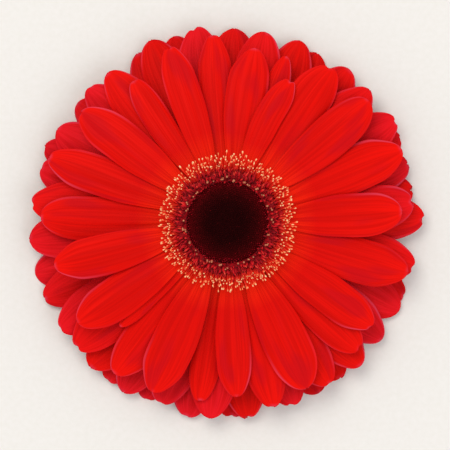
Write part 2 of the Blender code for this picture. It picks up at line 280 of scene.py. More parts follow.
# Each soft step goes from one value to another while what it follows goes from low to high.
PETAL_STEPS = {
    # name: follows, low, high, from, to
    # Painted light: the hidden petals turn pinker, and lighter against the shade of the petals above them.
    "hidden_pink_lifting": ("shade", 0.5, 0.95, 0.0, 0.45),
    "before_tip": ("along", 0.7, 1.0, 1.0, 0.3),
    "dark_veins": ("veins", 0.34, 0.64, 0.6, 0.0),
    # Painted shade: broad darker bands that follow the petal's relief.
    "painted_band_shade": ("bands", 0.5, 0.66, 0.0, 0.5),
    "streaks": ("patches", 0.52, 0.72, 0.0, 0.5),
    "past_root": ("along", 0.1, 0.3, 0.0, 1.0),
    # Painted highlight: a pinkish line just inside the rolled margin and round the tip, stronger on one side.
    "inside_line": ("from_midrib", 0.66, 0.8, 0.0, 1.0),
    "outside_line": ("from_midrib", 0.84, 0.94, 1.0, 0.3),
    "tip_line": ("along", 0.91, 1.0, 0.0, 0.8),
    "stronger_highlight_side": ("sides", 0.42, 0.62, 0.05, 1.0),
    "outer_part": ("along", 0.4, 0.8, 0.0, 0.62),
    "satin": ("veins", 0.2, 0.8, 0.62, 0.42),
}
STREAKS_BY_SHADE = 0.15
RELIEF_STRENGTH = 0.5
BAND_RELIEF = 0.5 * MM
VEIN_RELIEF = 0.13 * MM


def petal_material(name, glow, face, tip_painted_lighter, hidden_pink_lifted, deep, streak, margin):
    """Living petal tissue: a satin skin over fine parallel veins that run root to tip, with crimson
    streaks, broad darker bands of painted shade, a painted pinkish highlight just inside the rolled margin
    and round the tip, an orange glow painted at the root, where light comes through, and a tip painted
    lighter against the shade that falls where it droops. It all follows the petal's own UV map: U runs
    across it and V from root to tip. The attribute shade moves the pattern from petal to petal and makes
    the hidden petals pinker, and painted lighter against the shade of the petals that lie over them."""
    made, tree, shader = new_material(
        name,
        Specular_IOR_Level=0.06,
        IOR=PLANT_IOR,
        Sheen_Weight=0.01,
        Sheen_Roughness=0.3,
        Sheen_Tint=linear("#ff9aa8"),
    )
    uv = add_node(tree, "ShaderNodeUVMap", uv_map="UVMap").outputs["UV"]
    shade = add_node(tree, "ShaderNodeAttribute", attribute_name="shade").outputs["Fac"]
    place = add_node(tree, "ShaderNodeSeparateXYZ", {"Vector": uv}).outputs
    far = add_node(tree, "ShaderNodeMath", {0: shade, 1: SHADE_SHIFT}, operation="MULTIPLY")
    other_petal = add_node(tree, "ShaderNodeCombineXYZ", {"Z": far.outputs[0]}).outputs[0]
    both_sides = {0: place["X"], 1: 2.0, 2: -1.0}
    signed = add_node(tree, "ShaderNodeMath", both_sides, operation="MULTIPLY_ADD")
    from_midrib = add_node(tree, "ShaderNodeMath", {0: signed.outputs[0]}, operation="ABSOLUTE")
    found = {"shade": shade, "along": place["Y"], "from_midrib": from_midrib.outputs[0]}
    for key, (cells, detail) in PETAL_PATTERNS.items():
        stretched = {0: uv, 1: (*cells, 0.0), 2: other_petal}
        space = add_node(tree, "ShaderNodeVectorMath", stretched, operation="MULTIPLY_ADD").outputs[0]
        noise = {"Vector": space, "Scale": 1.0, "Detail": detail}
        found[key] = add_node(tree, "ShaderNodeTexNoise", noise).outputs["Fac"]
    for key, (source, low, high, start, end) in PETAL_STEPS.items():
        step = {"Value": found[source], "From Min": low, "From Max": high, "To Min": start, "To Max": end}
        found[key] = add_node(tree, "ShaderNodeMapRange", step, interpolation_type="SMOOTHSTEP").outputs[0]

    by_shade = {0: shade, 1: STREAKS_BY_SHADE, 2: found["streaks"]}
    streaks = add_node(tree, "ShaderNodeMath", by_shade, operation="MULTIPLY_ADD", use_clamp=True)
    found["streaks_by_shade"] = streaks.outputs[0]
    for key, operation, first, second in (
        ("veins_before_tip", "MULTIPLY", "dark_veins", "before_tip"),
        ("band_shade_before_tip", "MULTIPLY", "painted_band_shade", "before_tip"),
        ("crimson", "MULTIPLY", "streaks_by_shade", "past_root"),
        ("margin_line", "MULTIPLY", "inside_line", "outside_line"),
        ("line_and_tip", "MAXIMUM", "margin_line", "tip_line"),
        ("line_on_a_side", "MULTIPLY", "line_and_tip", "stronger_highlight_side"),
        ("margin_highlight", "MULTIPLY", "line_on_a_side", "outer_part"),
    ):
        pair = {0: found[first], 1: found[second]}
        found[key] = add_node(tree, "ShaderNodeMath", pair, operation=operation).outputs[0]

    # From the glow painted at the root through the face to the tip, which is painted lighter against the
    # shade of its droop.
    stops = tuple(zip(PETAL_COLOUR_PLACES, (glow, face, tip_painted_lighter)))
    skin = add_node(tree, "ShaderNodeValToRGB", {"Fac": place["Y"]}, stops).outputs["Color"]
    for share, colour in (
        # The hidden petals' pinker tone is partly painted light, lifting them against the shade of the petals
        # above.
        ("hidden_pink_lifting", hidden_pink_lifted),
        ("veins_before_tip", deep),
        # The veins' deep colour is the petal's own; on the broad bands it is painted shade.
        ("band_shade_before_tip", deep),
        ("crimson", streak),
        # Painted highlight along the rolled margin and the tip.
        ("margin_highlight", margin),
    ):
        layer = {"Factor": found[share], "A": skin, "B": linear(colour)}
        skin = add_node(tree, "ShaderNodeMix", layer, data_type="RGBA").outputs["Result"]
    tree.links.new(skin, shader.inputs["Base Color"])
    tree.links.new(found["satin"], shader.inputs["Roughness"])

    ridges = {"Height": found["bands"], "Strength": RELIEF_STRENGTH, "Distance": BAND_RELIEF}
    under = add_node(tree, "ShaderNodeBump", ridges).outputs[0]
    lines = {"Height": found["veins"], "Normal": under, "Strength": RELIEF_STRENGTH, "Distance": VEIN_RELIEF}
    tree.links.new(add_node(tree, "ShaderNodeBump", lines).outputs[0], shader.inputs["Normal"])
    return made


GRAIN_DETAIL = 3.0
GRAIN_SHIFT = 0.36  # how far the grain moves a spot along its colours, from end to end


def tissue_material(name, colours, grain_mm, bump_mm, attribute=None, **constants):
    """Soft plant tissue with a fine grain. The attribute leads through the colours, from the dark foot
    of a bud, floret or bract to its tip, and the grain shifts them so that no two spots match."""
    made, tree, shader = new_material(name, IOR=PLANT_IOR, Sheen_Roughness=0.4, **constants)
    place = add_node(tree, "ShaderNodeTexCoord").outputs["Object"]
    noise = {"Vector": place, "Scale": 1 / (grain_mm * MM), "Detail": GRAIN_DETAIL}
    grain = add_node(tree, "ShaderNodeTexNoise", noise).outputs["Fac"]
    lead = grain
    if attribute:
        share = add_node(tree, "ShaderNodeAttribute", attribute_name=attribute).outputs["Fac"]
        shift = {0: grain, 1: GRAIN_SHIFT, 2: -GRAIN_SHIFT / 2}
        uneven = add_node(tree, "ShaderNodeMath", shift, operation="MULTIPLY_ADD").outputs[0]
        lead = add_node(tree, "ShaderNodeMath", {0: share, 1: uneven}, operation="ADD").outputs[0]
    skin = add_node(tree, "ShaderNodeValToRGB", {"Fac": lead}, colours).outputs["Color"]
    tree.links.new(skin, shader.inputs["Base Color"])
    rough = {"Height": grain, "Strength": RELIEF_STRENGTH, "Distance": bump_mm * MM}
    tree.links.new(add_node(tree, "ShaderNodeBump", rough).outputs[0], shader.inputs["Normal"])
    return made


# The colours of a petal's two sides, in the order: glow painted at the root, face, tip painted lighter
#  against its shade, hidden petal's tone, pinker and painted lighter against the shade of the petals above,
#  deep vein and painted shade of the broad bands, crimson streak, painted pinkish highlight of the margin.
PETAL_FACE = petal_material(
    "gerbera_petal_upper_skin", "#f02004", "#da0a02", "#ea0e04", "#f02038", "#c20702", "#b80816", "#d84864"
)
PETAL_BACK = petal_material(
    "gerbera_petal_under_skin", "#d8604a", "#cf3a30", "#cf3a30", "#cf4450", "#b92c2a", "#b0263c", "#cf6474"
)
BUD_SKIN = tissue_material(
    "velvet_bud_skin",
    ((0.0, "#220203"), (0.3, "#3c0406"), (0.65, "#6a070e"), (1.0, "#a01020")),
    grain_mm=0.5,
    bump_mm=0.05,
    attribute="warm",
    Roughness=0.85,
    Specular_IOR_Level=0.05,
)
CRIMSON_SKIN = tissue_material(
    "crimson_floret_skin",
    ((0.0, "#6a0410"), (0.3, "#a00a16"), (0.65, "#d4141e"), (1.0, "#ec4a36")),
    grain_mm=0.6,
    bump_mm=0.05,
    attribute="tip",
    Roughness=0.55,
    Specular_IOR_Level=PLANT_SPECULAR,
    Sheen_Weight=0.05,
)
FILAMENT_SKIN = tissue_material(
    "filament_with_pollen_head",
    ((0.0, "#a80c14"), (0.35, "#f8301c"), (0.65, "#fc8850"), (1.0, "#ffd29c")),
    grain_mm=0.6,
    bump_mm=0.03,
    attribute="tip",
    Roughness=0.5,
    Specular_IOR_Level=PLANT_SPECULAR,
    Sheen_Weight=0.05,
)
ANTHER_SKIN = tissue_material(
    "dry_anther_skin",
    ((0.35, "#a44c36"), (0.65, "#dc906a")),
    grain_mm=0.35,
    bump_mm=0.05,
    Roughness=0.7,
    Specular_IOR_Level=PLANT_SPECULAR,
)
BRACT_SKIN = tissue_material(
    "hairy_green_bract",
    ((0.0, "#4f6a28"), (0.35, "#7a9440"), (0.7, "#7c6a3a"), (1.0, "#6a3230")),
    grain_mm=0.9,
    bump_mm=0.12,
    attribute="tip",
    Roughness=0.7,
    Specular_IOR_Level=PLANT_SPECULAR,
    Sheen_Weight=0.3,
)
STEM_SKIN = tissue_material(
    "green_stem_and_pale_pith",
    ((0.0, "#d5dcae"), (0.2, "#a9b878"), (0.4, "#7c963e"), (0.75, "#5f7a30"), (1.0, "#3a0408")),
    grain_mm=1.1,
    bump_mm=0.1,
    attribute="kind",
    Roughness=0.6,
    Specular_IOR_Level=PLANT_SPECULAR,
    Sheen_Weight=0.2,
)


def floor_material():
    """Matt pale paint with a faint mottle, so that the floor stays plain but isn't one flat colour."""
    made, tree, shader = new_material("pale_matt_paint", Roughness=0.9, Specular_IOR_Level=0.2)
    place = add_node(tree, "ShaderNodeTexCoord").outputs["Object"]
    noise = {"Vector": place, "Scale": 1 / (FLOOR_MOTTLE * MM), "Detail": 2.0}
    mottle = add_node(tree, "ShaderNodeTexNoise", noise).outputs["Fac"]
    paint = add_node(tree, "ShaderNodeValToRGB", {"Fac": mottle}, ((0.3, "#e8e5e0"), (0.7, "#ebe8e4")))
    tree.links.new(paint.outputs["Color"], shader.inputs["Base Color"])
    return made


# ---------------------------------------------------------------- tools for shapes


def add_object(name, data):
    """Puts a new object that shows the data into the scene."""
    made = bpy.data.objects.new(name, data)
    bpy.context.scene.collection.objects.link(made)
    return made


def as_mesh(shape, name):
    """Writes a bmesh to a new mesh, and frees it."""
    mesh = bpy.data.meshes.new(name)
    shape.to_mesh(mesh)
    shape.free()
    return mesh


def finished(name, shape, materials, nodes=(), thickness=0.0):
    """Makes the piece of a finished shape in millimetres, thickened downwards if it is a sheet. The
    underside of a sheet takes the second material if there is one."""
    bmesh.ops.scale(shape, vec=(MM, MM, MM), verts=shape.verts)
    mesh = as_mesh(shape, name)
    piece = add_object(name, mesh)
    for material in materials:
        mesh.materials.append(material)
    mesh.shade_smooth()
    if thickness:
        wall = piece.modifiers.new("thickness", "SOLIDIFY")
        wall.thickness = thickness * MM
        wall.offset = -1.0
        wall.material_offset = len(materials) - 1
    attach(piece, "root")
    if nodes:
        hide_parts(*nodes)
    return piece


def smooth(low, high, value):
    """Leads softly from 0 to 1 while the value goes from low to high."""
    share = min(1.0, max(0.0, (value - low) / (high - low)))
    return share * share * (3 - 2 * share)


def bell(value, middle, width):
    """1 in the middle, and falling softly to 0 on both sides."""
    return math.exp(-(((value - middle) / width) ** 2))


def polar(radius, azimuth, height):
    """The point at a radius and an azimuth round the head's axis, and at a height."""
    angle = math.radians(azimuth)
    return Vector((radius * math.sin(angle), radius * math.cos(angle), height))


def pattern_of(kind, **settings):
    """A small shape that is planted many times, as a mesh."""
    shape = bmesh.new()
    getattr(bmesh.ops, kind)(shape, **settings)
    return as_mesh(shape, "pattern")


def rod_pattern(sides, rings):
    """A closed rod of radius 1 along Z from 0 to 1, with rings enough to bend."""
    shape = bmesh.new()
    bmesh.ops.create_circle(shape, cap_ends=True, segments=sides, radius=1.0)
    faces = list(shape.faces)
    bmesh.ops.reverse_faces(shape, faces=faces)
    for ring in range(rings):
        raised = bmesh.ops.extrude_face_region(shape, geom=faces)["geom"]
        verts = [item for item in raised if isinstance(item, bmesh.types.BMVert)]
        bmesh.ops.translate(shape, vec=(0, 0, 1 / rings), verts=verts)
        if ring:
            bmesh.ops.delete(shape, geom=faces, context="FACES_ONLY")
        faces = [item for item in raised if isinstance(item, bmesh.types.BMFace)]
    bmesh.ops.recalc_face_normals(shape, faces=shape.faces)
    return as_mesh(shape, "rod")


def turned(outline, steps):
    """The closed surface that an outline of (radius, height) points makes when it turns about Z."""
    shape = bmesh.new()
    verts = [shape.verts.new((radius, 0.0, height)) for radius, height in outline]
    edges = [shape.edges.new(pair) for pair in zip(verts, verts[1:])]
    circle = {"axis": (0, 0, 1), "cent": (0, 0, 0), "angle": 2 * math.pi, "steps": steps, "use_merge": True}
    bmesh.ops.spin(shape, geom=verts + edges, **circle)
    bmesh.ops.remove_doubles(shape, verts=shape.verts, dist=0.001)
    bmesh.ops.recalc_face_normals(shape, faces=shape.faces)
    return as_mesh(shape, "turned")


def plant(shape, pattern):
    """Adds a copy of a pattern to a shape from which nothing was removed, and returns its verts."""
    before = len(shape.verts)
    shape.from_mesh(pattern)
    shape.verts.ensure_lookup_table()
    return shape.verts[before:]


PATH_STEP = 0.05  # how far along a path its direction is measured
ROUND = 1.0


def bend(verts, path, radius, flatness=ROUND):
    """Lays a planted rod along a path, a function from 0..1 to a point, with a radius that varies."""
    for vert in verts:
        share = vert.co.z
        middle = path(share)
        ahead = (path(min(1.0, share + PATH_STEP)) - path(max(0.0, share - PATH_STEP))).normalized()
        side = ahead.cross(Vector((middle.x, middle.y, 0)).normalized()).normalized()
        if side.length < 0.5:  # the path runs straight outwards, so the product is no direction
            side = Vector((-middle.y, middle.x, 0)).normalized()
        front = ahead.cross(side)
        vert.co = middle + (side * vert.co.x + front * vert.co.y * flatness) * radius(share)


# ---------------------------------------------------------------- petals

PETAL_COLUMNS = 22
PETAL_ROWS = 44
MARGIN_CROWDING = 0.96  # of the columns towards the margins
TIP_CROWDING = 1.45  # of the rows towards the tip
LEAST_HALF_WIDTH = 0.022  # at the very tip, as a share of the width
# A back petal's larger shade makes it pinker, and paints it lighter against the shade of the petals above it.
HIDDEN_SHADE = 0.45  # what a petal of the back rows adds to the attribute shade
POINTED_LOSS = 0.16  # how much narrower the most pointed tip is
RIPPLES = 16  # radians along a petal, of the waves in its margins
RIPPLE_APART = 1.3  # radians between the two margins
NOTCHES = (0.0, 0.0, 0.4, 0.8)
NOTCH_WIDTH = 0.8
CHANNEL_PLACE = 0.36  # from the midrib to a margin
CHANNEL_WIDTH = 0.13
CHANNEL_END = 1.05  # above 1, it runs out before the tip
CHANNEL_FULLNESS = 0.6  # less keeps it deep nearer to its ends
WALL_ROOM = 1.3 * FLORET_THICKNESS  # what a sloping floret takes up
ARCH_OF_FACE = 0.75
ARCH_OF_MARGIN = 0.3
SWELLS = 9  # radians along a petal, of the waves in its face
SWELL_SKEW = 1.5  # radians from the midrib to a margin
SWELL_HEIGHT = 0.07
LEAST_HEIGHT = 1.2 * FLORET_THICKNESS  # above the floor


def make_petal(floret, chance):
    """One petal: a fine grid laid along the floret's midrib, with two channels and rolled margins."""
    shape = bmesh.new()
    shape.loops.layers.uv.new("UVMap")
    bmesh.ops.create_grid(shape, x_segments=PETAL_COLUMNS, y_segments=PETAL_ROWS, size=1.0, calc_uvs=True)
    shade = shape.verts.layers.float.new("shade")
    back = not floret.name.startswith("petal_front")
    tint = chance.uniform(0.0, 0.5) + (HIDDEN_SHADE if back else 0.0)
    sway = chance.uniform(-0.96, 0.96)
    twist = chance.uniform(-0.22, 0.22)
    curl = chance.uniform(-0.5, 0.35)
    channels = [side * CHANNEL_PLACE + chance.uniform(-0.06, 0.06) for side in (-1, 1)]
    depth = chance.uniform(0.12, 0.26)
    point = chance.uniform(0.0, 1.0)
    phase = chance.uniform(0.0, 6.0)
    notch = chance.choice(NOTCHES)
    notch_side = chance.uniform(-0.9, 0.9)
    ripple = chance.uniform(0.006, 0.02)
    for vert in shape.verts:
        across = math.sin(math.pi / 2 * vert.co.x * MARGIN_CROWDING) / math.sin(math.pi / 2 * MARGIN_CROWDING)
        share = 1 - (1 - (vert.co.y + 1) / 2) ** TIP_CROWDING

        # Where the vert lies as seen from above.
        half = max(floret.half_width(share), LEAST_HALF_WIDTH * floret.width)
        half *= 1 - POINTED_LOSS * point * smooth(0.8, 0.97, share)
        wave = math.sin(phase + RIPPLES * share + math.copysign(RIPPLE_APART, across))
        half *= 1 + ripple * wave * smooth(0.25, 0.5, share)
        side = across * half
        along = ROOT_RADIUS + share * (floret.reach - ROOT_RADIUS)
        along -= notch * bell(side, notch_side, NOTCH_WIDTH) * smooth(0.9, 1.0, share)
        turn = math.radians(floret.turn(share) + sway * math.sin(math.pi * share))
        x = along * math.sin(turn) + side * math.cos(turn)
        y = along * math.cos(turn) - side * math.sin(turn)

        # How high it lies.
        low, high = low_and_high(math.hypot(x, y))
        step = (high - low) / TOP_LEVEL
        arch = min(FLORET_ARCH, step - WALL_ROOM - CLEARANCE)
        span = 2 * half / floret.width
        height = low + step * floret.level - arch * (across * span) ** 2 * ARCH_OF_FACE
        inside = math.sin(math.pi * min(1.0, share * CHANNEL_END)) ** CHANNEL_FULLNESS
        for channel in channels:
            height -= depth * bell(across, channel, CHANNEL_WIDTH) * inside * span
        height -= arch * ARCH_OF_MARGIN * smooth(0.78, 1.0, abs(across)) * span
        height += twist * across * span * smooth(0.2, 0.8, share)
        height += curl * smooth(0.75, 1.0, share) ** 2
        swell = math.sin(phase + SWELLS * share + SWELL_SKEW * across)
        height += SWELL_HEIGHT * swell * smooth(0.3, 0.6, share)
        vert.co = (x, y, max(height, LEAST_HEIGHT))
        vert[shade] = tint
    about_axis = Matrix.Rotation(-math.radians(floret.azimuth), 3, "Z")
    bmesh.ops.rotate(shape, cent=(0, 0, 0), matrix=about_axis, verts=shape.verts)
    nodes = [floret.node] if floret.node else ()
    return finished(floret.name, shape, [PETAL_FACE, PETAL_BACK], nodes, FLORET_THICKNESS)


# ---------------------------------------------------------------- the eye

EYE_RADIUS = RECEPTACLE_RADIUS - 0.8
EYE_SEAT = FACE_HEIGHT + 0.4
EYE_EDGE = 0.9  # height of the dome's edge above its seat
EYE_DOME = 2.8
DOME_SQUARENESS = 3.2  # more keeps the dome flat nearer to its edge
EYE_HOLLOW = 0.9
HOLLOW_WIDTH = 0.35
BED_SINK = 0.15  # of the dome below the middles of the buds
DOME_RINGS = 9
DOME_SIDES = 48
GOLDEN_TURN = 137.50776
BUDS = 1250
BUD_SIZE = 0.2  # radius of a bud in the middle
BUD_GROWTH = 0.05  # what a bud at the edge has more
BUD_SPREAD = 0.3  # how far the outermost buds lean out
BUD_TAPER = 0.35
BUD_GLOW = 0.08  # of the attribute warm, in the middle of the eye
OPEN_BUDS = 0.04  # share of the buds in the middle that show a warm tip


def eye_height(radius):
    """The bed that the closed buds stand on: a low dome, a little hollow in the middle."""
    share = radius / EYE_RADIUS
    dome = EYE_DOME * (1 - share**DOME_SQUARENESS)
    return EYE_SEAT + EYE_EDGE + dome - EYE_HOLLOW * bell(share, 0.0, HOLLOW_WIDTH)


def make_eye(chance):
    """The dark eye: more than a thousand closed buds in a sunflower spiral on a low dome."""
    outline = [(0.0, EYE_SEAT), (EYE_RADIUS, EYE_SEAT)]
    for ring in range(DOME_RINGS + 1):
        radius = EYE_RADIUS * (1 - ring / DOME_RINGS)
        outline.append((radius, eye_height(radius) - BED_SINK))
    shape = bmesh.new()
    warm = shape.verts.layers.float.new("warm")
    for vert in plant(shape, turned(outline, DOME_SIDES)):
        vert[warm] = 0.5 * smooth(0.4, 1.0, vert.co.xy.length / EYE_RADIUS)
    bud = pattern_of("create_icosphere", subdivisions=1, radius=1.0)
    for index in range(BUDS):
        share = math.sqrt((index + 0.5) / BUDS)
        radius = EYE_RADIUS * share + chance.uniform(-0.08, 0.08)
        azimuth = index * GOLDEN_TURN + chance.uniform(-0.5, 0.5) / max(0.1, share)
        size = BUD_SIZE + BUD_GROWTH * share + chance.uniform(-0.03, 0.03)
        tall = size * chance.uniform(1.5, 2.6)
        seat = polar(radius, azimuth, eye_height(radius))
        spread = polar(1.0, azimuth, 0.0) * (BUD_SPREAD * share**3)
        glow = BUD_GLOW + 0.4 * smooth(0.35, 0.9, share) + 0.3 * smooth(0.8, 1.0, share)
        glow += chance.uniform(-0.1, 0.14)
        if chance.random() < OPEN_BUDS + 0.4 * smooth(0.82, 1.0, share):
            glow += 0.25 + 0.3 * smooth(0.85, 1.0, share)
        for vert in plant(shape, bud):
            raised = max(0.0, vert.co.z)
            narrow = size * (1 - BUD_TAPER * raised)
            grown = Vector((vert.co.x * narrow, vert.co.y * narrow, vert.co.z * tall))
            vert.co = seat + grown + spread * raised
            vert[warm] = glow * (0.5 + 0.5 * raised)
    return finished("closed_buds", shape, [BUD_SKIN], ["disc_buds"])


# ---------------------------------------------------------------- round the eye

# Where each row of crimson florets stands, how many it has, and how much darker it is.
CRIMSON_ROWS = ((11.6, 84, 0.35), (12.0, 88, 0.15), (12.6, 92, 0.0), (13.4, 96, 0.0), (14.2, 100, 0.0))
RIM_FLORETS = 130
CRIMSON_FOOT = FACE_HEIGHT + 0.35
CRIMSON_SEAT = 0.2  # of a floret's root above the bed's foot
CRIMSON_CURL = 1.7  # radians, so above a quarter turn its tip dips again
CRIMSON_BEND = 1.8  # more keeps it upright for longer
CRIMSON_FLATNESS = 0.6
BED_INNER = EYE_RADIUS + 0.12
BED_OUTER = 14.5
BED_SIDES = 72
BED_TONE = 0.4
FALL_BY_ROW = 0.14  # how much less each further row rises


def plant_crimson_floret(shape, tip, rod, root, lean, wide, tone):
    """One short crimson floret: a flattened tube that widens, bends outwards and ends in a blunt tip.
    The root is a radius and an azimuth, and the lean is how far it goes out, up and sideways."""
    start, azimuth = root
    out, rise, swing = lean

    def path(share):
        height = CRIMSON_FOOT + CRIMSON_SEAT + rise * math.sin(share * CRIMSON_CURL)
        return polar(start + out * share**CRIMSON_BEND, azimuth + swing * share, height)

    def radius(share):
        return wide * (0.55 + 0.9 * share - 1.1 * share**3)

    planted = plant(shape, rod)
    for vert in planted:
        vert[tip] = tone * smooth(0.0, 0.9, vert.co.z)
    bend(planted, path, radius, CRIMSON_FLATNESS)


def make_crimson_florets(chance):
    """The short crimson florets that have opened round the eye, on a dark bed, curling outwards. The
    outermost ones hang over the rim of the bed."""
    shape = bmesh.new()
    tip = shape.verts.layers.float.new("tip")
    bed = [
        (BED_INNER, CRIMSON_FOOT),
        (BED_OUTER, CRIMSON_FOOT),
        (BED_OUTER + 0.2, CRIMSON_FOOT + 0.3),
        (BED_OUTER - 0.4, CRIMSON_FOOT + 0.6),
        (BED_INNER, CRIMSON_FOOT + 0.9),
        (BED_INNER, CRIMSON_FOOT),
    ]
    for vert in plant(shape, turned(bed, BED_SIDES)):
        vert[tip] = BED_TONE
    rod = rod_pattern(6, 5)
    for row, (radius, count, darker) in enumerate(CRIMSON_ROWS):
        for index in range(count):
            azimuth = 360 * (index + 0.5 * (row % 2)) / count + chance.uniform(-2.4, 2.4)
            start = radius + chance.uniform(-0.25, 0.25)
            rise = chance.uniform(1.5, 3.0) - FALL_BY_ROW * row
            out = chance.uniform(0.8, 2.5) if row else chance.uniform(-1.0, 0.8)
            swing = chance.uniform(-4.0, 4.0)
            wide = chance.uniform(0.28, 0.46)
            tone = chance.uniform(0.3, 1.0) - darker
            plant_crimson_floret(shape, tip, rod, (start, azimuth), (out, rise, swing), wide, tone)
    for index in range(RIM_FLORETS):
        azimuth = 360 * index / RIM_FLORETS + chance.uniform(-1.5, 1.5)
        lean = (chance.uniform(0.5, 1.4), chance.uniform(-0.35, 0.5), chance.uniform(-3.0, 3.0))
        wide = chance.uniform(0.24, 0.36)
        start = chance.uniform(14.1, 14.6)
        tone = chance.uniform(0.3, 0.75)
        plant_crimson_floret(shape, tip, rod, (start, azimuth), lean, wide, tone)
    return finished("crimson_florets", shape, [CRIMSON_SKIN], ["inner_florets"])


FILAMENTS = 640
FILAMENT_FOOT = FACE_HEIGHT + 0.6
FRINGE_START = 15.5  # the least reach of a filament
FRINGE_DEPTH = 4.0
LEAST_FILAMENT = 0.8  # from its root to its reach
FALL_BY_REACH = 0.4  # how much less a filament rises for each mm that it reaches further
FILAMENT_BEND = 1.25  # more keeps it upright for longer
STRAY_FILAMENTS = 0.05  # the share that reaches further than the others
HEAD_PLACE = 0.955  # of a filament's length


def make_fringe(chance):
    """The outer fringe: thin red filaments that each end in a small swollen head, cream with pollen."""
    shape = bmesh.new()
    tip = shape.verts.layers.float.new("tip")
    rod = rod_pattern(5, 9)
    for index in range(FILAMENTS):
        azimuth = 360 * index / FILAMENTS + chance.uniform(-1.4, 1.4)
        root = chance.uniform(13.2, 14.6)
        reach = max(root + LEAST_FILAMENT, FRINGE_START + FRINGE_DEPTH * chance.random())
        if chance.random() < STRAY_FILAMENTS:
            reach += chance.uniform(0.5, 1.6)
        rise = chance.uniform(2.0, 4.2) - FALL_BY_REACH * (reach - FRINGE_START)
        swing = chance.uniform(-3.0, 3.0)
        thin = chance.uniform(0.07, 0.1)
        head = chance.uniform(0.16, 0.25)
        cream = chance.uniform(0.62, 1.05)
        droop = chance.uniform(0.0, 0.5)
        long_head = chance.uniform(0.04, 0.075)

        def path(share):
            height = FILAMENT_FOOT + rise * (share - droop * share**3) / (1 - 0.5 * droop)
            return polar(root + (reach - root) * share**FILAMENT_BEND, azimuth + swing * share**2, height)

        planted = plant(shape, rod)
        for vert in planted:
            vert.co.z = 1 - (1 - vert.co.z) ** 2  # crowds the rings towards the head
            vert[tip] = 0.1 + 0.3 * vert.co.z + (cream - 0.4) * smooth(0.88, 0.94, vert.co.z)
        bend(planted, path, lambda share: thin + (head - thin) * bell(share, HEAD_PLACE, long_head))
    return finished("pollen_fringe", shape, [FILAMENT_SKIN], ["fringe_florets"])


TUBES = 150
TUBE_FOOT = INVOLUCRE_TOP + 0.2
TUBE_RING = RECEPTACLE_RADIUS + 0.02


def make_floret_tubes(chance):
    """The slender tubes that the ray florets stand on, packed round the receptacle inside their roots."""
    shape = bmesh.new()
    tip = shape.verts.layers.float.new("tip")
    rod = rod_pattern(6, 3)
    for index in range(TUBES):
        azimuth = 360 * (index + chance.uniform(-0.2, 0.2)) / TUBES
        top = FACE_HEIGHT + chance.uniform(-0.3, 0.3)
        wide = chance.uniform(0.2, 0.25)
        tone = chance.uniform(0.3, 0.9)

        def path(share):
            return polar(TUBE_RING, azimuth, TUBE_FOOT + (top - TUBE_FOOT) * share)

        planted = plant(shape, rod)
        for vert in planted:
            vert[tip] = tone
        bend(planted, path, lambda share: wide)
    return finished("floret_tubes", shape, [CRIMSON_SKIN])


TUFTS = 34
ANTHERS_IN_TUFT = (1, 2, 2, 3)
STALK_FOOT = FACE_HEIGHT + 0.8
STALK_RADIUS = 0.09


def make_anthers(chance):
    """A sparse ring of dry beige anthers in small tufts, each anther on a stalk, between the buds and
    the crimson florets."""
    shape = bmesh.new()
    bead = pattern_of("create_uvsphere", u_segments=8, v_segments=6, radius=1.0)
    stalk = rod_pattern(5, 2)
    for index in range(TUFTS):
        middle_azimuth = 360 * index / TUFTS + chance.uniform(-5, 5)
        middle_radius = chance.uniform(11.5, 12.9)
        top = FACE_HEIGHT + chance.uniform(2.5, 3.4)
        for _ in range(chance.choice(ANTHERS_IN_TUFT)):
            radius = middle_radius + chance.uniform(-0.25, 0.25)
            azimuth = middle_azimuth + chance.uniform(-1.6, 1.6)
            seat = polar(radius, azimuth, top + chance.uniform(-0.3, 0.1))
            size = chance.uniform(0.2, 0.34)
            tall = chance.uniform(1.3, 2.0)
            for vert in plant(shape, bead):
                vert.co = seat + Vector((vert.co.x * size, vert.co.y * size, vert.co.z * size * tall))

            def path(share):
                return seat + Vector((0, 0, (STALK_FOOT - seat.z) * (1 - share)))

            bend(plant(shape, stalk), path, lambda share: STALK_RADIUS)
    return finished("anthers", shape, [ANTHER_SKIN])


# ---------------------------------------------------------------- underside

FLARE = RECEPTACLE_RADIUS - STEM_RADIUS
FLARE_HEIGHT = INVOLUCRE_TOP - STUB_LENGTH
# The radius and the height of the receptacle's side, from the foot of the stem up.
RECEPTACLE_OUTLINE = [
    (STEM_RADIUS, 0.0),
    (STEM_RADIUS, STUB_LENGTH),
    (STEM_RADIUS + 0.25 * FLARE, STUB_LENGTH + 0.14 * FLARE_HEIGHT),
    (STEM_RADIUS + 0.68 * FLARE, STUB_LENGTH + 0.48 * FLARE_HEIGHT),
    (STEM_RADIUS + 0.93 * FLARE, STUB_LENGTH + 0.8 * FLARE_HEIGHT),
    (RECEPTACLE_RADIUS, INVOLUCRE_TOP),
]
# The cut: a hollow in the pith, a raised ring of harder strands, and a rounded edge.
CUT_OUTLINE = [
    (0.0, 0.5),
    (0.9, 0.42),
    (1.5, 0.16),
    (2.9, 0.04),
    (STEM_RADIUS - 0.2, 0.0),
    (STEM_RADIUS - 0.03, 0.16),
]
CUT_HEIGHT = 0.6  # everything on the stem below this belongs to the cut
STRAND_RING = 2.6
STEM_SIDES = 96
STEM_RIBS = 9
RIB_DEPTH = 0.07


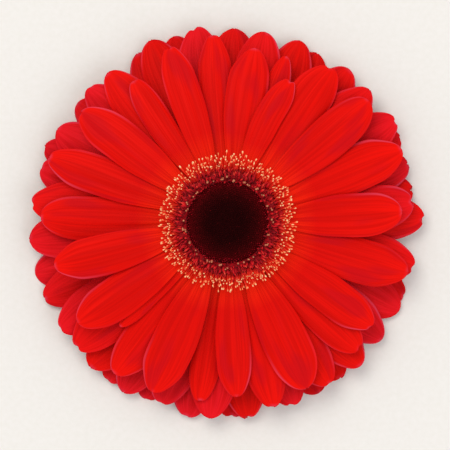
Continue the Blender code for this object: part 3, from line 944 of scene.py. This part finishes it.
def make_stem():
    """The cut stub of the stem, slightly ribbed and a little hollow at the cut, and the receptacle that it
    widens into. Its attribute kind leads from the pale pith of the cut through green to the dark top."""
    top = FACE_HEIGHT + RECEPTACLE_PROUD
    outside = [(STEM_RADIUS, 1.0), (STEM_RADIUS, 2.2), *RECEPTACLE_OUTLINE[1:]]
    wall = [(RECEPTACLE_RADIUS, height) for height in (12.5, 14.5, top)]
    shape = bmesh.new()
    kind = shape.verts.layers.float.new("kind")
    for vert in plant(shape, turned([*CUT_OUTLINE, *outside, *wall, (0.0, top)], STEM_SIDES)):
        radius = vert.co.xy.length
        height = vert.co.z
        # The attribute leads through the stem's colours: pith, strands, rind, then green to dark.
        if height < CUT_HEIGHT:
            vert[kind] = 0.02 + 0.22 * bell(radius, STRAND_RING, 0.35) + 0.16 * smooth(3.2, 3.5, radius)
        else:
            vert[kind] = 0.45 + 0.25 * smooth(2.0, 9.0, height) + 0.5 * smooth(11.6, 12.6, height)
        rib = math.cos(STEM_RIBS * math.atan2(vert.co.y, vert.co.x)) * (1 - smooth(2.0, 5.0, height))
        if radius > STEM_RADIUS - 0.5:
            vert.co.xy *= 1 + RIB_DEPTH * rib / radius
    return finished("stem_with_receptacle", shape, [STEM_SKIN], ["stem_and_receptacle"])


def along_outline(points, share):
    """The point at a share of the length of an outline, and the way square to it, outwards."""
    lengths = [math.dist(a, b) for a, b in zip(points, points[1:])]
    left = share * sum(lengths)
    for (a, b), length in zip(zip(points, points[1:]), lengths):
        if left <= length or b == points[-1]:
            part = left / length
            point = (a[0] + (b[0] - a[0]) * part, a[1] + (b[1] - a[1]) * part)
            return point, ((b[1] - a[1]) / length, -(b[0] - a[0]) / length)
        left -= length


BRACT_THICKNESS = 0.3
BRACT_ARCH = 0.22  # of its middle above its margins
BRACT_COLUMNS = 6
BRACT_ROWS = 14
BRACT_START = 0.22  # the share of a half wave that its root end leaves out
BRACT_REACH = RECEPTACLE_RADIUS + 4.4
BRACT_UNDER = low_and_high(BRACT_REACH)[0] - 1.7  # clear of the lowest petals
# Each row's name, slot and frame node, the last two points of its outline after the receptacle's part,
# its gap from that outline, and the number and width of its bracts.
BRACTS = (
    (
        "upper",
        "upper_bracts",
        "bracts_upper",
        RECEPTACLE_OUTLINE[3:5] + [(RECEPTACLE_RADIUS + 0.8, BRACT_UNDER + 0.1), (BRACT_REACH, BRACT_UNDER)],
        0.35,
        20,
        3.9,
    ),
    (
        "middle",
        "upper_bracts",
        "bracts_upper",
        RECEPTACLE_OUTLINE[2:4]
        + [(RECEPTACLE_RADIUS - 0.2, INVOLUCRE_TOP - 2.9), (RECEPTACLE_RADIUS + 1.7, BRACT_UNDER - 0.9)],
        0.75,
        18,
        3.6,
    ),
    (
        "lower",
        "lower_bracts",
        "bracts_lower",
        RECEPTACLE_OUTLINE[1:3]
        + [(STEM_RADIUS + 5.9, INVOLUCRE_TOP - 5.0), (RECEPTACLE_RADIUS - 0.4, INVOLUCRE_TOP - 3.6)],
        1.15,
        15,
        3.2,
    ),
)


def bract_shape(points, gap, azimuth, width, lift):
    """One narrow pointed bract that hugs the receptacle and opens a little at its tip."""
    shape = bmesh.new()
    bmesh.ops.create_grid(shape, x_segments=BRACT_COLUMNS, y_segments=BRACT_ROWS, size=1.0, calc_uvs=True)
    tip = shape.verts.layers.float.new("tip")
    for vert in shape.verts:
        across = vert.co.x
        share = (vert.co.y + 1) / 2
        (radius, height), (out, down) = along_outline(points, share)
        wave = math.sin(math.pi * (BRACT_START + (1 - BRACT_START) * share))
        half = width / 2 * max(0.04, wave**0.75)
        away = gap + BRACT_ARCH * (1 - across**2) + lift * smooth(0.7, 1.0, share)
        radius += out * away
        height += down * away
        vert.co = polar(radius, azimuth + math.degrees(across * half / radius), height)
        vert[tip] = 0.8 * smooth(0.8, 1.0, share) + 0.25 * smooth(0.75, 1.0, abs(across))
    return shape


def make_bracts(chance):
    """The bracts under the head, in three rows that overlap."""
    for row, (label, slot_name, node, points, gap, count, width) in enumerate(BRACTS):
        for index in range(count):
            azimuth = 360 * (index + 0.5 * (row % 2)) / count + chance.uniform(-2, 2)
            wide = width * chance.uniform(0.92, 1.06)
            shape = bract_shape(points, gap, azimuth, wide, chance.uniform(0.0, 0.25))
            name = f"bract_{label}_{index + 1:02d}"
            finished(name, shape, [BRACT_SKIN], [node], BRACT_THICKNESS)


# ---------------------------------------------------------------- floor, light and camera

FLOOR_SIZE = 1.5  # from the middle to an edge, in metres
FLOOR_GAP = 0.05  # between the head and the floor

# Each lamp's place and size in metres, its power in watts, and its colour.
LIGHTS = {
    "key_light": ((-0.6, 0.95, 2.2), 1.5, 22.5, "#fffaf2"),
    "fill_light": ((1.2, -0.95, 1.95), 2.0, 11.0, "#f6f8ff"),
}
LIGHT_TARGET = Vector((0, 0, 0.01))
WORLD_COLOUR = (1.0, 1.0, 1.0, 1.0)
WORLD_STRENGTH = 0.72

VIEW_WIDTH = 124.9 * MM  # what the camera spans at the height of the florets
AIM = Vector((-0.7 * MM, -0.72 * MM, 12 * MM))
CAMERA_DISTANCE = 2.5


def make_floor():
    """A wide flat floor that the head lies on."""
    shape = bmesh.new()
    bmesh.ops.create_grid(shape, x_segments=2, y_segments=2, size=FLOOR_SIZE)
    bmesh.ops.translate(shape, vec=(0, 0, -FLOOR_GAP * MM), verts=shape.verts)
    floor = add_object("floor", as_mesh(shape, "floor"))
    floor.data.materials.append(floor_material())


def make_studio():
    """A high key light, a cooler fill light on the other side, and an even white surround."""
    for name, (place, size, power, colour) in LIGHTS.items():
        lamp = bpy.data.lights.new(name, "AREA")
        lamp.shape = "DISK"
        lamp.size = size
        lamp.energy = power
        lamp.color = linear(colour)[:3]
        holder = add_object(name, lamp)
        holder.location = place
        holder.rotation_euler = (LIGHT_TARGET - Vector(place)).to_track_quat("-Z", "Y").to_euler()
    world = bpy.data.worlds.new("studio")
    world.use_nodes = True
    background = world.node_tree.nodes["Background"]
    background.inputs["Color"].default_value = WORLD_COLOUR
    background.inputs["Strength"].default_value = WORLD_STRENGTH
    bpy.context.scene.world = world
    bpy.context.scene.view_settings.view_transform = "Standard"


def make_camera():
    """A camera straight above the head, far away, so that it sees the head almost square on."""
    lens = bpy.data.cameras.new("camera")
    lens.sensor_width = 36.0
    lens.lens = lens.sensor_width * CAMERA_DISTANCE / VIEW_WIDTH
    lens.clip_start = 0.05
    lens.clip_end = 20.0
    camera = add_object("camera", lens)
    camera.location = AIM + Vector((0, 0, CAMERA_DISTANCE))
    bpy.context.scene.camera = camera


def main():
    chance = random.Random(11)
    for floret in sorted(FRONT + BACK, key=lambda floret: floret.name):
        make_petal(floret, chance)
    make_eye(chance)
    make_crimson_florets(chance)
    make_fringe(chance)
    make_floret_tubes(chance)
    make_anthers(chance)
    make_bracts(chance)
    make_stem()
    make_floor()
    make_studio()
    make_camera()


main()
